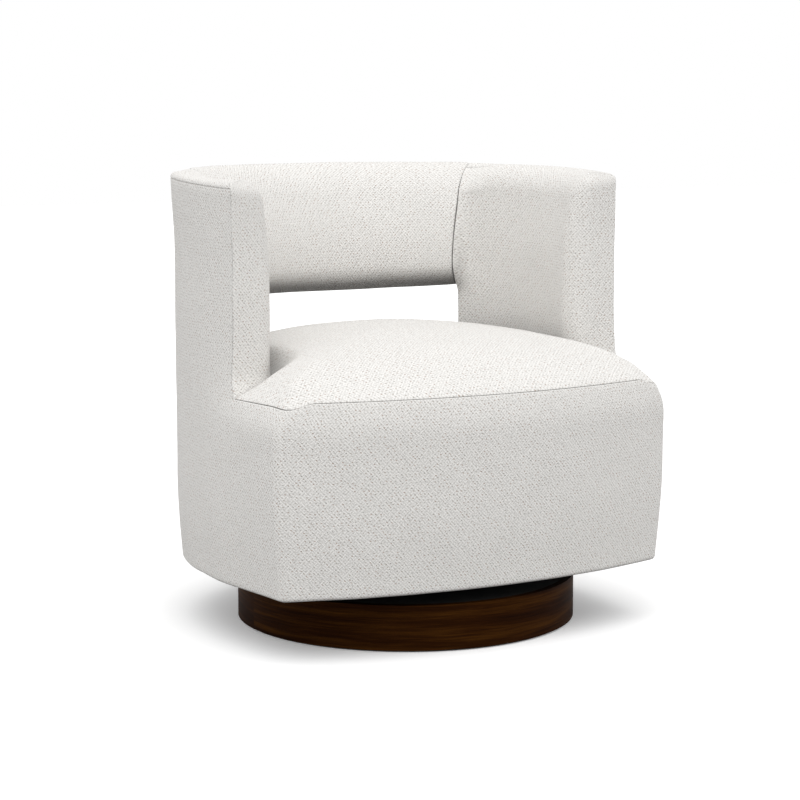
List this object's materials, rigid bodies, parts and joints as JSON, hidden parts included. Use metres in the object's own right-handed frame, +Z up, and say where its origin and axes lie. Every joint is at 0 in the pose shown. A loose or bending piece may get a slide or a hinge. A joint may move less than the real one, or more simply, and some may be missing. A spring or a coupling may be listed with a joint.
{
  "type": "swivel barrel chair",
  "caption": "Low upholstered armchair with a round wall of arms, a padded back bolster over an open gap, a crowned tight seat and a swivelling round wooden plinth.",
  "frame": {"origin": "point on the floor under the swivel axis", "axes": "+Z up along the swivel axis, -Y towards the front of the chair, +X towards the chair's side that is on the right when it is looked at from the front"},
  "size_m": [0.748, 0.7005, 0.741],
  "materials": {
    "ivory_weave": "chunky off-white woven cloth with small beige and grey flecks",
    "dark_walnut": "very dark stained walnut veneer, satin, grain running round the hoop",
    "plywood": "unfinished birch plywood",
    "black_board": "plywood painted matt black",
    "zinc_steel": "zinc-plated steel",
    "ball_steel": "polished bearing steel",
    "spring_steel": "oiled spring steel",
    "cage_plastic": "natural nylon",
    "felt": "dense dark grey felt",
    "padding": "polyurethane foam and polyester wadding",
    "dust_cloth": "thin black non-woven cloth"
  },
  "bodies": {
    "base": {"floor_felt": "felt", "plinth_hoop": "dark_walnut", "plinth_bottom_board": "plywood", "plinth_top_board": "black_board", "plinth_blocks": "plywood", "swivel_spacer": "black_board", "swivel_lower_plate": "zinc_steel", "swivel_pin": "zinc_steel", "lower_bolts": "zinc_steel", "lower_nuts": "zinc_steel"},
    "ball_cage": {"bearing_balls": "ball_steel", "ball_cage": "cage_plastic"},
    "seat": {"swivel_upper_plate": "zinc_steel", "upper_bolts": "zinc_steel", "upper_nuts": "zinc_steel", "seat_posts": "plywood", "deck_screws": "zinc_steel", "ring_screws": "zinc_steel", "panel_screws": "zinc_steel", "bottom_deck": "plywood", "seat_ring": "plywood", "front_panel": "plywood", "back_lower_panel": "plywood", "right_arm_panel": "plywood", "left_arm_panel": "plywood", "right_arm_posts": "plywood", "left_arm_posts": "plywood", "top_rail": "plywood", "lower_back_rail": "plywood", "bolster_board": "plywood", "dust_cover": "dust_cloth", "seat_springs": "spring_steel", "spring_clips": "zinc_steel", "spring_felt": "felt", "right_outside_cover": "ivory_weave", "left_outside_cover": "ivory_weave", "right_outside_wadding": "padding", "left_outside_wadding": "padding", "right_arm_cover": "ivory_weave", "left_arm_cover": "ivory_weave", "right_arm_foam": "padding", "left_arm_foam": "padding", "bolster_cover": "ivory_weave", "bolster_outside_cover": "ivory_weave", "bolster_foam": "padding", "front_cover": "ivory_weave", "front_padding": "padding", "back_lower_cover": "ivory_weave", "back_lower_padding": "padding", "seat_cover": "ivory_weave", "seat_foam": "padding"}
  },
  "joints": [
    {"name": "seat_swivel", "type": "hinge", "parent": "base", "child": "seat", "pos_m": [0, 0, 0.093], "axis": [0, 0, 1], "continuous": true},
    {"name": "cage_orbit", "type": "hinge", "parent": "base", "child": "ball_cage", "pos_m": [0, 0, 0.093], "axis": [0, 0, 1], "continuous": true}
  ],
  "couplings": [
    {"joint": "cage_orbit", "follows": "seat_swivel", "ratio": 0.5}
  ]
}
